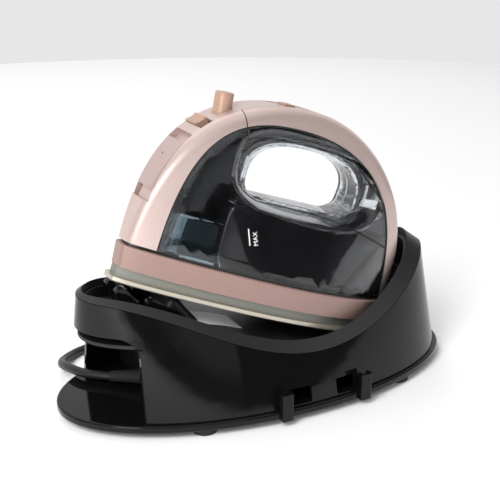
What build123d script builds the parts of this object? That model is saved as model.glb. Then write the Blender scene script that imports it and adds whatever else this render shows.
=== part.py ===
from build123d import *
import os
from math import radians, degrees, tan, pi, sqrt, asin, atan2

# Cordless steam iron resting on its mains stand.
# World frame: origin on the floor at the middle of the stand, +Z up, the nose of the iron towards -X.
# The iron is drawn in its own frame (soleplate underside at z = 0) and then seated on the stand.

# ---------------------------------------------------------------- driving dimensions, mm
# how the iron sits on the stand
seat_tilt = 19.2          # the nose is raised by this many degrees
seat_x = 4.0              # iron's own origin, along the stand
seat_z = 56.5             # and above the floor
lift_gap = 0.35           # clearance between things that part when the iron is lifted

# iron: outline in side view
nose_x = -123.8           # front of the covers
heel_x = 94.3             # back of the covers
crown_x = -11.0           # highest station
crown_z = 144.0           # top of the handle over the soleplate
nose_fullness = 0.66      # how square the nose shoulder is (0.55 is an ellipse)
heel_fullness = 0.53

# iron: width
base_half = 45.0          # half width of the body where it meets the skirt
handle_half = 19.0        # half width of the handle at the crown
wide_x = 12.0             # widest station, seen from above
tip_half = 6.5            # half width of the blunt point at the base
crown_tip_half = 20.0     # and where the same outline would end over the handle
cheek_run = 0.095         # the sides leave the point steeply: share of the run to wide_x
cheek_rise = 0.34         # in which this share of the widening happens
side_run = 0.345
heel_plan = 0.60          # how blunt the heel is, seen from above
nose_cut = 1.6            # the side view trims this much off the point and the heel
cover_round = 10.0        # rounding between the covers and the sides

# iron: heating half
sole_thick = 3.2
sole_half = 43.5
sole_overhang = 2.5       # tips of the soleplate beyond the covers
sole_point = 4.0          # rounding of its point
vent_rows = ((9.0, 11), (19.0, 8))   # steam vents: distance from the edge, vents a side
casting_top = 9.8
casting_inset = 3.2
skirt_low = 10.2
skirt_top = 25.6
skirt_half = 46.0
skirt_wall = 2.4
skirt_proud = 0.8         # tips of the skirt beyond the covers
body_low = 28.0           # the covers and windows start here
floor_inset = 3.0         # the dark floor under them stands back by this much

# iron: shells
cover_wall = 2.4
window_wall = 2.4
seam = 0.25               # open joint between neighbouring shells
band_nose = 18.9          # width of the metallic band in side view
band_crown = 13.8
band_heel = 20.4
band_crown_x = -23.8
band_nose_fullness = 0.745
band_heel_fullness = 0.658
cover_split_x = -71.2     # the nose cover meets the handle cover here
tongue_half = 12.0        # and runs back between its shoulders as far as the control panel

# grip hole
grip_front = -59.8
grip_rear = 12.0
grip_low = 80.3
grip_high = 117.2
grip_corner = 9.0
tunnel_wall = 2.2

# stand: base plate
plate_half_length = 153.5
plate_half_width = 77.0
plate_fullness = 0.552    # an ellipse
plate_low = 4.5
plate_top = 10.0
plate_edge = 1.4

# stand: shell, an oval tub that narrows upwards
shell_front = 144.0       # half lengths and half width at the plate
shell_rear = 149.0
shell_half = 72.5
front_lean = 0.10         # inward run per mm of height
rear_lean = 0.16
side_lean = 0.27
shell_wall = 2.6
shell_fullness = 0.58     # a little squarer than an ellipse

# stand: swept rim
rim_low_x = 20.0          # inner, upper line: lowest station and heights
rim_front_z = 90.5
rim_low_z = 48.6
rim_rear_z = 97.5
rim_front_x = -130.0      # stations where it reaches its front and rear heights
rim_rear_x = 124.0
edge_low_x = 18.0         # outer, lower line
edge_front_z = 87.5
edge_low_z = 42.8
edge_rear_z = 88.5
edge_front_x = -136.0
edge_rear_x = 134.0
rim_swell = 1.1           # how late the front rises
rim_insets = (3.5, 8.0, 11.0)     # front, side and rear steps from the outer to the inner line
tray_insets = (4.4, 9.8, 12.0)

# fill cover, steam selector, spray button, control panel (places are x stations on the crown)
hatch_half = 12.5         # fill cover half width
hatch_low_z = 66.9
hatch_high_z = 101.3
hatch_gap = 0.35
recess_depth = 4.2
neck_half = 8.4           # half width of the filling channel
recess_wall = 1.6
recess_low_z = 58.4       # thumb recess under the fill cover
recess_high_z = 107.8     # hinge recess over it
hinge_radius = 1.25
lever_x = -93.3
lever_long = 9.0          # along the crown
lever_wide = 17.0         # across it
lever_travel = 8.0
lever_rise = 1.3
button_x = -79.0
button_radius = 6.4
button_rise = 12.0
button_travel = 3.0
button_root = 8.0         # the cap reaches this far under the crown
plunger_long = 30.0
button_lean = 7.5         # its axis leans forward of the iron's own upright
plunger_radius = 2.5
spring_seat = 22.0        # depth of the return spring's seat under the crown
panel_front = -44.0
panel_rear = -13.0
panel_half = 11.0
key_x = -32.0
key_long = 8.0
key_wide = 11.0
key_rise = 1.0
key_travel = 0.5

# inside the iron
inner_gap = 0.4           # between the windows and what stands behind them
tank_front = -106.0
tank_rear = -66.5
tank_wall = 1.8
tank_top = 56.0
housing_front = -65.5
housing_top = 71.0
housing_rear_top = 64.5
housing_rear_low = 34.0
housing_low = 32.0
valve_x = -90.0
rod_radius = 1.5
valve_lift = 2.0
element_radius = 3.2
terminal_radius = 1.2
vent_radius = 1.4
heel_pocket_low = 31.5
heel_pocket_high = 47.5
heel_pocket_half = 12.5
heel_face_x = 91.5

# stand, inside
tray_wall = 2.2
tray_front_z = 59.0       # tray floor height at tray_front_x, falling with tray_slope
tray_front_x = -60.0
tray_slope = 15.0
bay_x = -90.0             # wall at the back of the cord bay
bay_ceiling = 58.0
bay_mouth_near = -107.8   # the shell is cut away in front of this station
bay_mouth_far = -122.0    # and of this one on the side where the lead goes out
lip_low = 65.5
bay_corner = 13.0
post_places = (-19.0, 45.0)
post_height = 14.0
post_wide = 8.5
foot_radius = 8.5
foot_stations = (-71.0, 88.0)
rest_x = -82.0            # station on the soleplate that the front rest carries
rest_half = 13.0
rib_radius = 5.0
heel_rest_x = 66.0

# mains lead
cord_radius = 3.3
coil_mean = 73.0
coil_pitch = 6.8
coil_x = 62.0
coil_y = 131.3
coil_low = 0.2
coil_layers = 2
coil_columns = 3
plug_z = 8.7                     # height of the plug's own axis
plug_long = 30.0
plug_wide = 25.0
plug_relief = 24.0
blade_long = 17.5
coil_stub = 26.0                 # the outer turn runs on straight this far at both ends
gland_neck = 3.6
relief_start = (4.0, 17.5)       # y and z where the lead leaves the bay wall
relief_end = (-109.5, 18.0, 15.4)
lead_route = [relief_end, (-124.6, 28.9, 15.3), (-134.8, 48.6, 14.6), (-134.5, 69.5, 8.6),
              (-123.0, 87.6, 4.0), (-102.1, 98.5, 3.5), (-70.0, 95.0, 3.5), (-36.5, 90.4, 3.5),
              (0.0, 88.0, 3.5), (36.0, 88.0, 3.5)]

# ---------------------------------------------------------------- helpers
iron_seat = Location((seat_x, 0, seat_z), (0, seat_tilt, 0))
PARTS = {}


def quarter(p, q, centre, fullness):
    """Bezier quarter of an oval from p to q; p is level with the centre, q straight over it."""
    p, q, c = Vector(*p), Vector(*q), Vector(*centre)
    return Bezier(p, p + (q - c) * fullness, q + (p - c) * fullness, q)


def oval(front, rear, wide, half, z, fullness):
    """Plain oval plan outline as a face at height z; a fullness of 0.55 is an ellipse."""
    c = (wide, 0, z)
    f, r = (front, 0, z), (rear, 0, z)
    n, s = (wide, half, z), (wide, -half, z)
    edges = [quarter(f, n, c, fullness), quarter(r, n, c, fullness),
             quarter(r, s, c, fullness), quarter(f, s, c, fullness)]
    return Face(Wire(edges))


def cheek(front, half, tip, z, side):
    """One side of the iron's plan from the blunt point back to its widest station."""
    run = wide_x - front
    return Bezier((front, side * tip, z),
                  (front + cheek_run * run, side * (tip + cheek_rise * (half - tip)), z),
                  (wide_x - side_run * run, side * half, z), (wide_x, side * half, z))


def plan(front, rear, half, tip, z):
    """Plan outline of the iron as a face at height z: a blunt point, long sides, a round heel."""
    edges = [Line((front, tip, z), (front, -tip, z))]
    for side in (1, -1):
        edges.append(cheek(front, half, tip, z, side))
        edges.append(quarter((rear, 0, z), (wide_x, side * half, z), (wide_x, 0, z), heel_plan))
    return Face(Wire(edges))


def drawn_in(tip, inset):
    """Half width of the point once the outline has moved in by inset."""
    return max(tip - inset * tan(radians(30)), 1.5)


def hump(front, rear, top_x, low, high, full_front, full_rear):
    """Side view of the iron: a dome over a flat base line, as a face in the XZ plane."""
    c = (top_x, 0, low)
    edges = [quarter((front, 0, low), (top_x, 0, high), c, full_front),
             quarter((rear, 0, low), (top_x, 0, high), c, full_rear),
             Line((front, 0, low), (rear, 0, low))]
    return Face(Wire(edges))


def prism(face, half=80.0):
    """Extrude an XZ face symmetrically across the iron."""
    return extrude(Pos(0, -half, 0) * face, amount=2 * half, dir=(0, 1, 0))


def outline_prism(points, half=80.0):
    return prism(Face(Wire(Polyline(*[(x, 0, z) for x, z in points], close=True))), half)


def slab(x0, x1, y0, y1, z0, z1):
    return Pos((x0 + x1) / 2, (y0 + y1) / 2, (z0 + z1) / 2) * Box(x1 - x0, y1 - y0, z1 - z0)


def raised(face, height):
    """Extrude a level face straight up."""
    return extrude(face, amount=height, dir=(0, 0, 1))


def body_form(inset):
    """Solid form of the iron above the skirt, moved in by inset on every side."""
    lean = (base_half - handle_half) / (crown_z - body_low)
    front, rear = nose_x - nose_cut + inset, heel_x + nose_cut - inset
    levels = []
    for z, tip in ((body_low, tip_half), (crown_z + 8, crown_tip_half)):
        half = base_half - lean * (z - body_low) - inset
        levels.append(plan(front, rear, half, drawn_in(tip, inset), z))
    side_view = hump(nose_x + inset, heel_x - inset, crown_x, body_low, crown_z - inset,
                     nose_fullness, heel_fullness)
    form = loft(levels, ruled=True) & prism(side_view)
    crease = [e for e in form.edges() if e.length > 40 and e.bounding_box().size.Z > 50
              and e.bounding_box().size.X > 40]
    return fillet(crease, cover_round - inset)


def outline_place(x=None, z=None, depth=0.0, lean=None):
    """Place on the iron's side-view outline, found by its station x, or by its height z on the nose.

    Local Z is the outward normal, or leans forward by lean degrees, and local X runs aft."""
    front = x is None or x < crown_x
    tip = nose_x if front else heel_x
    k = nose_fullness if front else heel_fullness
    p0 = (tip, body_low)
    p1 = (tip, body_low + (crown_z - body_low) * k)
    p2 = (crown_x + (tip - crown_x) * k, crown_z)
    p3 = (crown_x, crown_z)
    low, high = 0.0, 1.0
    for _ in range(50):
        t = (low + high) / 2
        at = [(1 - t) ** 3 * a + 3 * (1 - t) ** 2 * t * b + 3 * (1 - t) * t * t * c + t ** 3 * d
              for a, b, c, d in zip(p0, p1, p2, p3)]
        short = at[1] < z if x is None else (at[0] < x) == front
        if short:
            low = t
        else:
            high = t
    run = [3 * (1 - t) ** 2 * (b - a) + 6 * (1 - t) * t * (c - b) + 3 * t * t * (d - c)
           for a, b, c, d in zip(p0, p1, p2, p3)]
    slope = degrees(atan2(run[1], run[0])) if front else degrees(atan2(-run[1], -run[0]))
    return Location((at[0], 0, at[1]), (0, -slope if lean is None else -lean, 0)) * Pos(0, 0, -depth)


def put(name, shape, at=None):
    """Keep one finished part under its node name, placed in the world frame."""
    solids = list(shape.solids())
    shape = solids[0] if len(solids) == 1 else Compound(solids)
    PARTS[name] = at * shape if at is not None else shape


def band_cut(grow=0.0):
    """Side-view core that separates the metallic band from the windows."""
    return prism(hump(nose_x + band_nose - grow, heel_x - band_heel + grow, band_crown_x, body_low,
                      crown_z - band_crown + grow, band_nose_fullness, band_heel_fullness))


def split_front(shift=0.0):
    """Region in front of the joint between nose cover and handle cover, with its tongue on the crown."""
    def station(z):
        return cover_split_x + shift - (z - crown_z + band_crown) * tan(radians(seat_tilt))
    top, low = crown_z + 20, body_low - 5
    front = outline_prism([(nose_x - 30, low), (nose_x - 30, top), (station(top), top), (station(low), low)])
    half = tongue_half + shift
    return front + slab(cover_split_x - 12, panel_front + shift, -half, half, crown_z - 20, top)


def grip_hole(grow=0.0):
    """Side view of the opening that the hand goes through, grown outwards by grow."""
    f, r = grip_front - grow, grip_rear + grow
    low, high = grip_low - grow, grip_high + grow
    spring_z = grip_low + 14.5
    mid = (grip_front + grip_rear) / 2
    bottom = FilletPolyline((f, 0, spring_z), (f, 0, low), (r, 0, low), (r, 0, spring_z),
                            radius=grip_corner + grow)
    arch = [quarter((f, 0, spring_z), (mid, 0, high), (mid, 0, spring_z), 0.68),
            quarter((r, 0, spring_z), (mid, 0, high), (mid, 0, spring_z), 0.64)]
    return Face(Wire(arch + list(bottom.edges())))


# ---------------------------------------------------------------- iron: heating half
def sole_plan(inset, z):
    return plan(nose_x - sole_overhang + inset, heel_x + sole_overhang - inset, sole_half - inset,
                drawn_in(tip_half, inset), z)


def soleplate():
    plate = raised(sole_plan(0, 0), sole_thick)
    points = [e for e in plate.edges().filter_by(Axis.Z) if e.center().X < nose_x]
    plate = fillet(points, sole_point)
    rim = [e for e in plate.edges() if abs(e.center().Z) < 0.01]
    plate = chamfer(rim, 0.8)
    drill = Cylinder(vent_radius, 3 * sole_thick)
    for inset, count in vent_rows:
        for side in (-1, 1):
            row = cheek(nose_x - sole_overhang + inset, sole_half - inset, drawn_in(tip_half, inset), 0, side)
            plate -= [Pos(row @ (0.12 + 0.83 * i / (count - 1))) * drill for i in range(count)]
    put("soleplate", plate, iron_seat)


def heater_casting():
    block = raised(sole_plan(casting_inset, sole_thick), casting_top - sole_thick)
    # steam chamber milled into the top, with an island under the drip valve
    pocket = raised(sole_plan(20, casting_top - 3.6), 4)
    block -= pocket
    block += Pos(valve_x, 0, casting_top - 2.6) * Cylinder(6, 2.0)
    path = element_path(casting_top - 0.2)
    groove = sweep(Plane(path @ 0, z_dir=path % 0) * Circle(element_radius + 0.15), path)
    block -= groove
    block -= [Plane(path @ t, z_dir=path % t) * Cylinder(terminal_radius + 0.8, 18) for t in (0, 1)]
    block += [Pos(x, y, casting_top + 1.4) * Cylinder(4.0, 2.8) for x, y in boss_places()]
    put("heater_casting", block, iron_seat)


def boss_places():
    """Where the body is screwed to the casting."""
    return [(nose_x + 11, 0), (heel_x - 11, 0)]


def element_path(z):
    """Centre line of the U-shaped heating element, open at the heel."""
    front, rear, half = nose_x + 26, heel_x - 30, sole_half - 16.5
    return FilletPolyline((rear, half - 8, z), (crown_x + 20, half, z), (crown_x - 22, half - 3, z),
                          (front, 10, z), (front, -10, z), (crown_x - 22, -half + 3, z),
                          (crown_x + 20, -half, z), (rear, -half + 8, z), radius=9)


def heating_element():
    path = element_path(casting_top - 0.2)
    tube = sweep(Plane(path @ 0, z_dir=path % 0) * Circle(element_radius), path)
    put("heating_element", tube, iron_seat)
    pins = [Plane(path @ t, z_dir=path % t) * Pos(0, 0, 4 if t else -4) * Cylinder(terminal_radius, 8)
            for t in (0, 1)]
    put("element_terminals", Compound([p.solid() for p in pins]), iron_seat)


def steam_cover():
    lid = raised(sole_plan(18.5, casting_top), 1.2)
    lid -= Pos(valve_x, 0, casting_top) * Cylinder(2.2, 6)
    path = element_path(casting_top - 0.2)
    lid -= sweep(Plane(path @ 0, z_dir=path % 0) * Circle(element_radius + 0.4), path)
    put("steam_chamber_cover", lid, iron_seat)


def thermostat():
    can = Pos(10, 0, casting_top + 1.2 + 3.0) * Cylinder(8, 6)
    can += Pos(10, 0, casting_top + 1.2 + 7.0) * Box(7, 20, 2)
    put("thermostat", can, iron_seat)
    fuse = Pos(42, 0, casting_top + 1.2 + 2.2) * Rot(90, 0, 0) * Cylinder(2.2, 22)
    put("thermal_fuse", fuse, iron_seat)


def skirt():
    def ring(inset, low, high, toe=1.2):
        front, rear = nose_x - skirt_proud + inset, heel_x + skirt_proud - inset
        tip = drawn_in(tip_half, inset)
        return loft([plan(front + toe, rear - toe, skirt_half - inset - toe, tip, low),
                     plan(front, rear, skirt_half - inset, tip, high)], ruled=True)
    wall = ring(0, skirt_low, skirt_top)
    points = [e for e in wall.edges() if e.center().X < nose_x and e.bounding_box().size.Z > 5]
    wall = fillet(points, sole_point)
    top_edges = [e for e in wall.edges() if abs(e.center().Z - skirt_top) < 0.01]
    wall = fillet(top_edges, 0.9)
    wall -= ring(skirt_wall, skirt_low - 1, skirt_top - 2.0)
    wall -= raised(plan(nose_x + 24, heel_x - 22, skirt_half - 20, 3, skirt_top - 4), 8)
    for x, y in boss_places():
        wall -= Pos(x, y, skirt_top) * Cylinder(2.2, 10)
    put("heat_skirt", wall, iron_seat)


def body_floor():
    z0 = skirt_top
    plate = raised(plan(nose_x + floor_inset, heel_x - floor_inset, base_half - floor_inset,
                        drawn_in(tip_half, floor_inset), z0), body_low - 0.2 - z0)
    plate -= Pos(valve_x, 0, z0) * Cylinder(4.8, 10)
    for x, y in boss_places():
        plate -= Pos(x, y, z0) * Cylinder(2.2, 10)
    put("body_floor", plate, iron_seat)
    screws = []
    for x, y in boss_places():
        head = Pos(x, y, body_low + 0.9) * Cylinder(3.4, 1.8)
        shank = Pos(x, y, (casting_top + 3 + body_low) / 2) * Cylinder(1.7, body_low - casting_top - 3)
        screws.append((head + shank).solid())
    put("body_screws", Compound(screws), iron_seat)


# ---------------------------------------------------------------- iron: metallic covers
def nose_region(low_z, high_z, half):
    """Block through the nose between the outline's normals at two heights."""
    low, high = outline_place(z=low_z), outline_place(z=high_z)
    corners = [low * Pos(0, 0, 6), low * Pos(0, 0, -14), high * Pos(0, 0, -14), high * Pos(0, 0, 6)]
    return outline_prism([(c.position.X, c.position.Z) for c in corners], half)


def hinge_axis():
    return outline_place(z=hatch_high_z - 1.6, depth=2.7)


def lever_slot():
    return outline_place(x=lever_x) * Box(lever_long + 0.8, lever_wide + lever_travel + 0.8, 20)


def button_place():
    return outline_place(x=button_x, lean=button_lean)


def panel_block(gap=0.0):
    return slab(panel_front - gap, panel_rear + gap, -panel_half - gap, panel_half + gap,
                crown_z - 20, crown_z + 5)


def heel_pocket(gap=0.0):
    return slab(heel_face_x - 6, heel_x + 5, -heel_pocket_half - gap, heel_pocket_half + gap,
                heel_pocket_low - gap, heel_pocket_high + gap)


def covers(outer):
    band = outer - body_form(cover_wall) - band_cut()
    front = band & split_front()
    front -= nose_region(recess_low_z, recess_high_z, hatch_half + hatch_gap)
    front -= lever_slot()
    front -= button_place() * Cylinder(button_radius + 0.25, 40)
    front -= hinge_axis() * Rot(90, 0, 0) * Cylinder(hinge_radius, 2 * (hatch_half + hatch_gap + 1.2))
    put("nose_cover", front, iron_seat)
    rear = band - split_front(seam)
    rear -= panel_block(seam)
    rear -= heel_pocket(seam)
    put("handle_cover", rear, iron_seat)


def fill_hatch(outer):
    axis = hinge_axis()
    middle = axis * Rot(90, 0, 0)
    # fixed frame behind the nose: floors of both thumb recesses, with the filling hole
    frame = body_form(cover_wall + 0.05) - body_form(recess_depth + recess_wall)
    frame &= nose_region(recess_low_z - 1.5, recess_high_z + 1.5, hatch_half + hatch_gap + recess_wall)
    frame -= ((outer - body_form(recess_depth))
              & nose_region(recess_low_z, recess_high_z, hatch_half + hatch_gap))
    frame -= nose_region(hatch_low_z + 4, hatch_high_z - 7, 9.5)
    frame -= middle * Cylinder(3.4, 2 * (hatch_half + hatch_gap))
    frame -= middle * Cylinder(hinge_radius, 60)
    put("fill_surround", frame, iron_seat)
    pin = middle * Cylinder(hinge_radius, 2 * (hatch_half + hatch_gap + 1.2))
    put("hatch_hinge_pin", pin, iron_seat)
    # the cover itself, hung on a barrel at its upper edge
    lid = (outer - body_form(cover_wall)) & nose_region(hatch_low_z, hatch_high_z, hatch_half)
    barrel = middle * Cylinder(2.3, 2 * hatch_half - 2)
    lid += barrel & (body_form(1.2))
    lid -= middle * Cylinder(hinge_radius + 0.06, 60)
    lid -= outline_place(z=(hatch_low_z + hatch_high_z) / 2 + 6) * Cylinder(0.8, 3)
    seal = nose_region(hatch_low_z + 2.5, hatch_high_z - 5.5, 11.0) & body_form(cover_wall + 0.05)
    seal -= body_form(recess_depth - 0.35)
    seal -= nose_region(hatch_low_z + 5, hatch_high_z - 8, 8.5)
    put("fill_cover", lid, iron_seat)
    put("fill_seal", seal, iron_seat)


def filler_neck():
    inset = recess_depth + recess_wall + 0.2
    duct = body_form(inset) & slab(-200, tank_front + 9, -neck_half - 1.6, neck_half + 1.6,
                                   tank_top + 0.3, hatch_high_z - 6)
    duct -= slab(-200, tank_front + 7.4, -neck_half, neck_half, tank_top - 6, hatch_high_z - 7.6)
    put("filler_neck", duct, iron_seat)


def steam_lever():
    place = outline_place(x=lever_x)
    rest = Pos(0, lever_travel / 2, 0)
    knob = body_form(-lever_rise) - body_form(4.4)
    knob &= place * rest * Box(lever_long, lever_wide, 30)
    grip = place * rest * Pos(0, 0, lever_rise + 9.2) * Rot(90, 0, 0) * Cylinder(9.9, 60)
    knob -= grip
    knob += place * rest * Pos(-1.3, 0, -4.95) * Box(lever_long + 0.8, lever_wide + 3, 1.3)
    put("steam_lever", knob, iron_seat)


def spray_button():
    place = button_place()
    cap = place * Pos(0, 0, (button_rise - button_root) / 2) * Cylinder(button_radius, button_rise + button_root)
    cap = fillet(cap.edges().sort_by(Axis.Z)[-1:], 0.9)
    cap += place * Pos(0, 0, 0.6 - button_root) * Cylinder(button_radius + 0.6, 1.2)
    put("spray_button", cap, iron_seat)
    plunger = place * Pos(0, 0, -button_root - plunger_long / 2) * Cylinder(plunger_radius, plunger_long)
    put("spray_plunger", plunger, iron_seat)
    height, turns = spring_seat - button_root - 1.2, 5
    coil = Helix(height / turns, height, 5.0)
    wire = sweep(Plane(coil @ 0, z_dir=coil % 0) * Circle(0.55), coil, is_frenet=True)
    put("button_spring", iron_seat * place * Pos(0, 0, -spring_seat + 0.6) * wire)


def control_panel():
    plate = (body_form(0.3) - body_form(2.1)) & panel_block()
    key_spot = outline_place(x=key_x)
    plate -= key_spot * Box(key_long + 0.5, key_wide + 0.5, 20)
    spots = [outline_place(x=panel_rear - 6) * Pos(0, y, 0) for y in (-5.5, 0, 5.5)]
    for s in spots:
        plate -= s * Cylinder(1.3, 20)
    put("control_panel", plate, iron_seat)
    key = key_spot * Pos(0, 0, key_rise / 2 - 1.3) * Box(key_long, key_wide, key_rise + 2.6)
    key = fillet([e for e in key.edges().group_by(Axis.Z)[-1]], 0.5)
    key += key_spot * Pos(0, 0, -3.2) * Cylinder(1.5, 1.4)
    put("temperature_key", key, iron_seat)
    board_z = crown_z - 9.4
    board = slab(panel_front + 1, panel_rear - 1, -panel_half + 1, panel_half - 1, board_z, board_z + 1.6)
    switch = slab(key_x - 3, key_x + 3, -3, 3, board_z + 1.6, board_z + 3.2)
    put("circuit_board", board, iron_seat)
    put("key_switch", switch, iron_seat)
    lamps = [(s * Pos(0, 0, -3.9) * Cylinder(1.15, 7.0)).solid() for s in spots]
    put("indicator_lamps", Compound(lamps), iron_seat)


# ---------------------------------------------------------------- iron: windows and inner parts
def windows():
    plate = body_form(0.4) - body_form(0.4 + window_wall)
    plate &= band_cut(-seam)
    sleeve = (prism(grip_hole(tunnel_wall)) & body_form(0.4)) - prism(grip_hole())
    plate -= prism(grip_hole(tunnel_wall))
    for name, side in (("window_left", -1), ("window_right", 1)):
        half = Pos(0, side * (200 + seam / 2), 150) * Box(800, 400, 400)
        put(name, (plate & half) + (sleeve & half), iron_seat)


def inner_parts():
    inset = 0.4 + window_wall + inner_gap
    core = body_form(inset)
    inner = body_form(inset + tank_wall)
    low = body_low
    # water tank in the nose, with holes for the valve rod and a filling hole
    tank = core & slab(tank_front, tank_rear, -80, 80, low, tank_top)
    tank -= inner & slab(tank_front + tank_wall, tank_rear - tank_wall, -80, 80, low + tank_wall,
                         tank_top - tank_wall)
    tank -= Pos(valve_x, 0, tank_top) * Cylinder(rod_radius + 0.25, 8)
    tank -= Pos(valve_x, 0, low) * Cylinder(rod_radius + 0.25, 8)
    tank -= slab(tank_front + 3, tank_front + 7, -8, 8, tank_top - 6, tank_top + 4)
    put("water_tank", tank, iron_seat)
    # dark housing behind the tank: sloping end towards the heel, open underneath
    outline = [(housing_front, low), (housing_front, housing_top), (housing_rear_top, housing_top),
               (housing_rear_low, housing_low), (housing_rear_low, low)]
    w = tank_wall
    hollow = [(housing_front + w, low - 1), (housing_front + w, housing_top - w),
              (housing_rear_top - 2 * w, housing_top - w), (housing_rear_low - w, housing_low + w),
              (housing_rear_low - w, low - 1)]
    housing = (core & outline_prism(outline)) - (inner & outline_prism(hollow))
    put("inner_housing", housing, iron_seat)
    # handle core: closes round the grip tunnel and runs down to the heel
    gap = 0.3
    outline = [(tank_rear + 5, housing_top + gap), (housing_rear_top + gap, housing_top + gap),
               (housing_rear_low + gap + 0.3, housing_low), (housing_rear_low + gap + 0.3, low),
               (heel_x + 5, low), (heel_x + 5, crown_z + 5), (tank_rear + 5, crown_z + 5)]
    frame = core & outline_prism(outline)
    frame -= prism(grip_hole(tunnel_wall + gap))
    frame -= slab(panel_front - 1, panel_rear + 1, -panel_half - 1, panel_half + 1, crown_z - 9.7, crown_z)
    frame -= slab(heel_face_x - 6.3, heel_x + 5, -heel_pocket_half - 0.5, heel_pocket_half + 0.5,
                  heel_pocket_low - 4, heel_pocket_high + 0.5)
    frame -= slab(46, heel_x - 7, -11, 11, low - 1, 60)
    put("handle_core", frame, iron_seat)
    # pump block under the selector and the button
    rear = grip_front - tunnel_wall - gap
    region = slab(tank_front + 10.5, rear, -17, 17, housing_top + gap, crown_z)
    region += slab(tank_front + 10.5, housing_front - gap, -17, 17, tank_top + 0.3, crown_z)
    block = body_form(6.4) & region
    place = button_place()
    block -= place * Pos(0, 0, -spring_seat + 20) * Cylinder(8.3, 40)
    block -= place * Pos(0, 0, -60) * Cylinder(plunger_radius + 0.08, 120)
    block -= Pos(valve_x, 0, 90) * Cylinder(rod_radius + 0.25, 120)
    put("pump_block", block, iron_seat)
    # valve rod and its seat
    lever = outline_place(x=lever_x, depth=5.6 + valve_lift + 1.0)
    rod_top = lever.position.Z - 2.3
    rod_low = casting_top + 2.6
    rod = Pos(valve_x, 0, (rod_top + rod_low) / 2) * Cylinder(rod_radius, rod_top - rod_low)
    put("steam_valve_rod", rod, iron_seat)
    seat = Pos(valve_x, 0, (casting_top + 1.2 + low) / 2) * Cylinder(4.4, low - casting_top - 1.2)
    seat -= Pos(valve_x, 0, 20) * Cylinder(rod_radius + 0.25, 60)
    put("valve_seat", seat, iron_seat)


def heel_terminals():
    block = slab(heel_face_x - 5.8, heel_face_x, -heel_pocket_half + 0.3, heel_pocket_half - 0.3,
                 heel_pocket_low + 0.3, heel_pocket_high - 0.3)
    pads = [slab(heel_face_x, heel_face_x + 0.8, y - 2.2, y + 2.2, heel_pocket_low + 3,
                 heel_pocket_high - 3) for y in (-8, 0, 8)]
    put("heel_terminal_block", block, iron_seat)
    put("heel_contacts", Compound([p.solid() for p in pads]), iron_seat)


# ---------------------------------------------------------------- stand: forms
def tub(front_inset, side_inset, rear_inset, low=None, high=125.0):
    """Solid oval form of the stand, narrowing upwards, moved in by the three insets."""
    low = plate_top if low is None else low

    def level(z):
        rise = z - plate_top
        return oval(-(shell_front - front_lean * rise - front_inset),
                    shell_rear - rear_lean * rise - rear_inset, 0,
                    shell_half - side_lean * rise - side_inset, z, shell_fullness)
    return loft([level(low), level(high)], ruled=True)


def saddle(x, low, front, rear):
    """Height of a saddle curve over station x; low, front and rear are (station, height) pairs.

    The front rises evenly along the stand, the rear evenly round its turn."""
    if x < low[0]:
        t = min((low[0] - x) / (low[0] - front[0]), 1.0) ** rim_swell
        top = front[1]
    else:
        t = asin(min((x - low[0]) / (rear[0] - low[0]), 1.0)) / (pi / 2)
        top = rear[1]
    return low[1] + (top - low[1]) * t * t * (3 - 2 * t)


def rim_z(x):
    """Inner, upper line of the rim."""
    return saddle(x, (rim_low_x, rim_low_z), (rim_front_x, rim_front_z), (rim_rear_x, rim_rear_z))


def edge_z(x):
    """Outer, lower line of the rim, where it meets the glossy shell."""
    return saddle(x, (edge_low_x, edge_low_z), (edge_front_x, edge_front_z), (edge_rear_x, edge_rear_z))


def below(height, drop=0.0):
    """Everything under a saddle curve, as a prism across the stand."""
    reach, count = 170, 68
    stations = [reach * (2 * i / count - 1) for i in range(count + 1)]
    line = Spline(*[(x, 0, height(x) - drop) for x in stations])
    box = Polyline((reach, 0, height(reach) - drop), (reach, 0, -20), (-reach, 0, -20),
                   (-reach, 0, height(-reach) - drop))
    return prism(Face(Wire([line] + list(box.edges()))), 120)


def plan_point(turn):
    """Point of the stand's plan outline with unit half length and half width, turn from 0 to 4 quarters."""
    quadrant, t = int(turn) % 4, turn % 1
    if quadrant % 2:
        t = 1 - t
    x = (1 - t) ** 3 + 3 * (1 - t) ** 2 * t + 3 * (1 - t) * t * t * shell_fullness
    y = 3 * (1 - t) ** 2 * t * shell_fullness + 3 * (1 - t) * t * t + t ** 3
    return (x if quadrant in (0, 3) else -x), (y if quadrant < 2 else -y)


def rim_loop(height, front_inset, side_inset, rear_inset, drop=0.0):
    """Closed curve round the tub at a varying height."""
    points = []
    count = 48
    for i in range(count):
        along, across = plan_point(4 * i / count)
        z = height(0)
        for _ in range(30):
            rise = z - plate_top
            reach = (shell_rear - rear_lean * rise - rear_inset if along > 0
                     else shell_front - front_lean * rise - front_inset)
            z = height(reach * along)
        points.append((reach * along, (shell_half - side_lean * (z - plate_top) - side_inset) * across, z - drop))
    return Edge.make_spline([Vector(*p) for p in points], periodic=True)



def rim():
    outer = rim_loop(edge_z, 0, 0, 0)
    crest = rim_loop(rim_z, *rim_insets)
    lip = rim_loop(rim_z, *rim_insets, drop=5.0)
    under = rim_loop(edge_z, shell_wall, shell_wall, shell_wall)
    loops = [outer, crest, lip, under]
    faces = [Face.make_surface_from_curves(loops[i], loops[(i + 1) % 4]) for i in range(4)]
    band = Solid(Shell(faces))
    if band.volume < 0:
        band = -band
    put("rim_band", band)


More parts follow.
